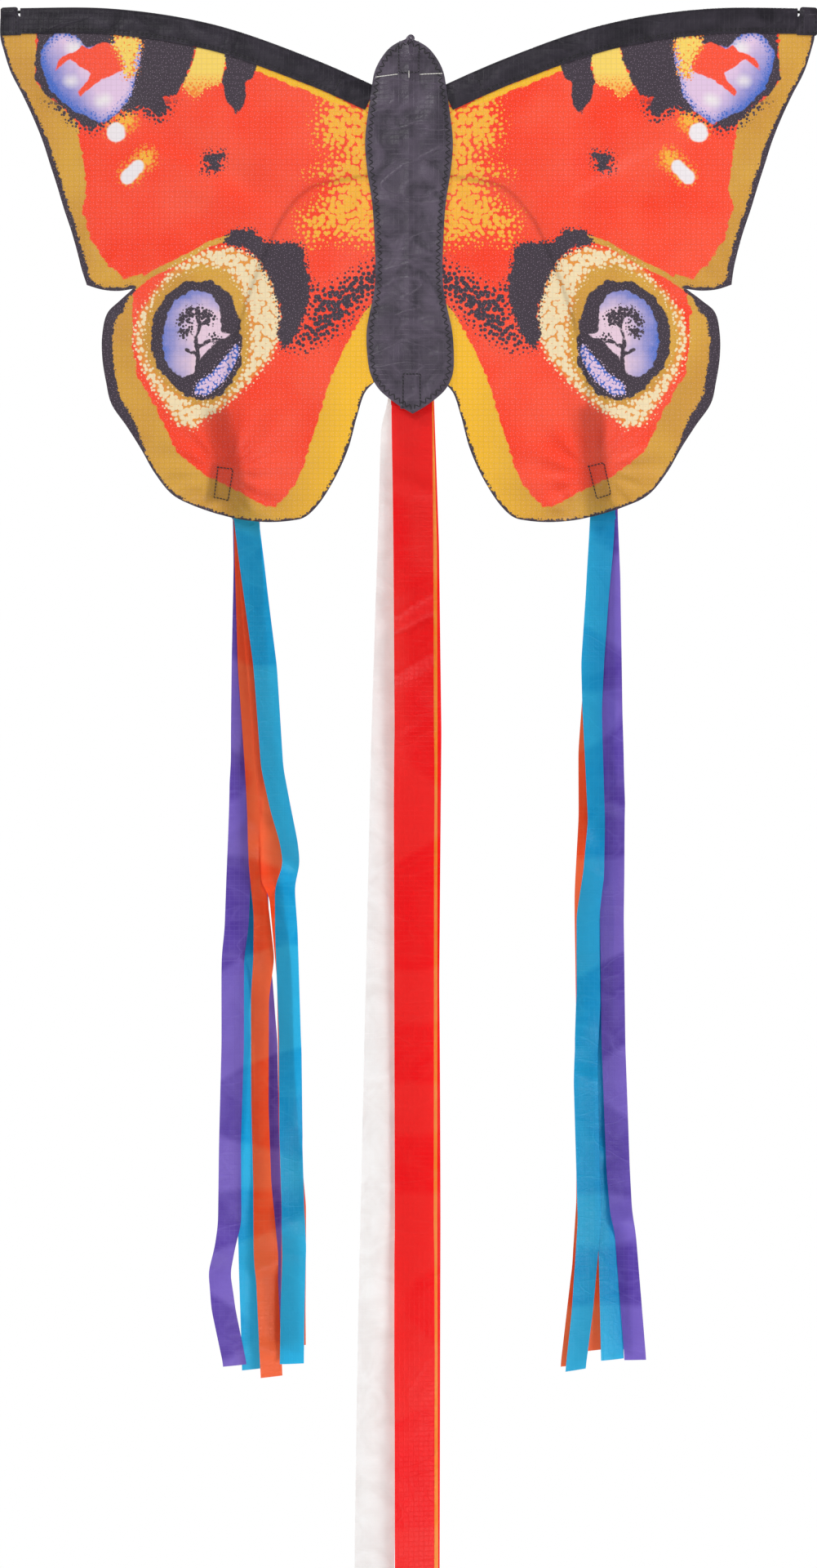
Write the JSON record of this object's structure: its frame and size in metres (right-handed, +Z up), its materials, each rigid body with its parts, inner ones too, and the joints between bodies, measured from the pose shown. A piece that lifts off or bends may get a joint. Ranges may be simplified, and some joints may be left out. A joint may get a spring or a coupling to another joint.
{
  "type": "butterfly kite",
  "caption": "Butterfly-shaped single-line kite with a printed sail, a black body panel, curved spars in a sleeved leading edge, and long ribbon tails.",
  "frame": {"origin": "at the tow loop on the head, level with the face of the sail", "axes": "+Z up the spine, -Y out of the kite's face, +X to the right as seen from in front"},
  "size_m": [0.522, 0.024, 1.2542],
  "materials": {
    "sail": "printed ripstop polyester, matt with a faint woven grid",
    "panel": "black ripstop polyester",
    "sleeve": "black plain-woven polyester, sewn in two layers",
    "spar": "pultruded fibreglass rod",
    "vinyl": "soft black vinyl tube and caps",
    "line": "thin white braided polyester line",
    "ribbon_blue": "hot-cut ripstop ribbon",
    "ribbon_orange": "hot-cut ripstop ribbon",
    "ribbon_purple": "hot-cut ripstop ribbon",
    "ribbon_red": "hot-cut ripstop ribbon",
    "ribbon_yellow": "hot-cut ripstop ribbon",
    "ribbon_white": "hot-cut ripstop ribbon"
  },
  "bodies": {
    "body_frame": {"body_panel": "panel", "nose_connector": "vinyl", "arch_connector": "vinyl", "spine_rod": "spar", "spine_cap_top": "vinyl", "spine_cap_bottom": "vinyl", "spine_pocket_top": "panel", "spine_pocket_bottom": "panel", "bridle_line": "line", "tow_loop": "line", "centre_tail_tab": "ribbon_red"},
    "left_wing": {"left_wing_sail": "sail", "left_leading_sleeve": "sleeve", "left_tip_pocket": "sleeve", "left_leading_rod": "spar", "left_tip_cap": "vinyl", "left_nose_arm": "vinyl", "left_arch_arm": "vinyl", "left_arch_rod": "spar", "left_arch_cap": "vinyl", "left_arch_pocket": "panel", "left_tail_tab": "ribbon_blue"},
    "right_wing": {"right_wing_sail": "sail", "right_leading_sleeve": "sleeve", "right_tip_pocket": "sleeve", "right_leading_rod": "spar", "right_tip_cap": "vinyl", "right_nose_arm": "vinyl", "right_arch_arm": "vinyl", "right_arch_rod": "spar", "right_arch_cap": "vinyl", "right_arch_pocket": "panel", "right_tail_tab": "ribbon_blue"},
    "left_tail": {"left_tail_stack": "ribbon_blue"},
    "left_strips": {"left_strip_blue_a": "ribbon_blue", "left_strip_orange_a": "ribbon_orange", "left_strip_purple_a": "ribbon_purple", "left_strip_blue_b": "ribbon_blue", "left_strip_orange_b": "ribbon_orange", "left_strip_purple_b": "ribbon_purple"},
    "right_tail": {"right_tail_stack": "ribbon_blue"},
    "right_strips": {"right_strip_blue_a": "ribbon_blue", "right_strip_orange_a": "ribbon_orange", "right_strip_purple_a": "ribbon_purple", "right_strip_blue_b": "ribbon_blue", "right_strip_orange_b": "ribbon_orange", "right_strip_purple_b": "ribbon_purple"},
    "centre_tail": {"centre_tail_stack": "ribbon_red"},
    "centre_strips": {"centre_strip_red_a": "ribbon_red", "centre_strip_yellow": "ribbon_yellow", "centre_strip_red_b": "ribbon_red", "centre_strip_white": "ribbon_white"}
  },
  "joints": [
    {"name": "left_wing_flex", "type": "hinge", "parent": "body_frame", "child": "left_wing", "pos_m": [-0.01, 0.003, -0.04], "axis": [0, 0, -1], "range_deg": [0, 30], "stiffness_Nm_per_rad": 0.2},
    {"name": "right_wing_flex", "type": "hinge", "parent": "body_frame", "child": "right_wing", "pos_m": [0.01, 0.003, -0.04], "axis": [0, 0, 1], "range_deg": [0, 30], "stiffness_Nm_per_rad": 0.2},
    {"name": "left_tail_swing", "type": "hinge", "parent": "left_wing", "child": "left_tail", "pos_m": [-0.1079, 0.0092, -0.271], "axis": [-1, 0, 0], "range_deg": [-85, 0]},
    {"name": "right_tail_swing", "type": "hinge", "parent": "right_wing", "child": "right_tail", "pos_m": [0.1223, 0.0092, -0.271], "axis": [-1, 0, 0], "range_deg": [-85, 0]},
    {"name": "centre_tail_swing", "type": "hinge", "parent": "body_frame", "child": "centre_tail", "pos_m": [0.00135, 0.0082, -0.204], "axis": [-1, 0, 0], "range_deg": [-85, 0]},
    {"name": "left_strips_sway", "type": "hinge", "parent": "left_tail", "child": "left_strips", "pos_m": [-0.1045, 0.0074, -0.2864], "axis": [0, -1, 0], "range_deg": [-25, 2.5]},
    {"name": "right_strips_sway", "type": "hinge", "parent": "right_tail", "child": "right_strips", "pos_m": [0.125, 0.0074, -0.2864], "axis": [0, -1, 0], "range_deg": [-2.5, 25]},
    {"name": "centre_strips_sway", "type": "hinge", "parent": "centre_tail", "child": "centre_strips", "pos_m": [0.0016, 0.007, -0.2135], "axis": [0, -1, 0], "range_deg": [-2.5, 5]}
  ]
}
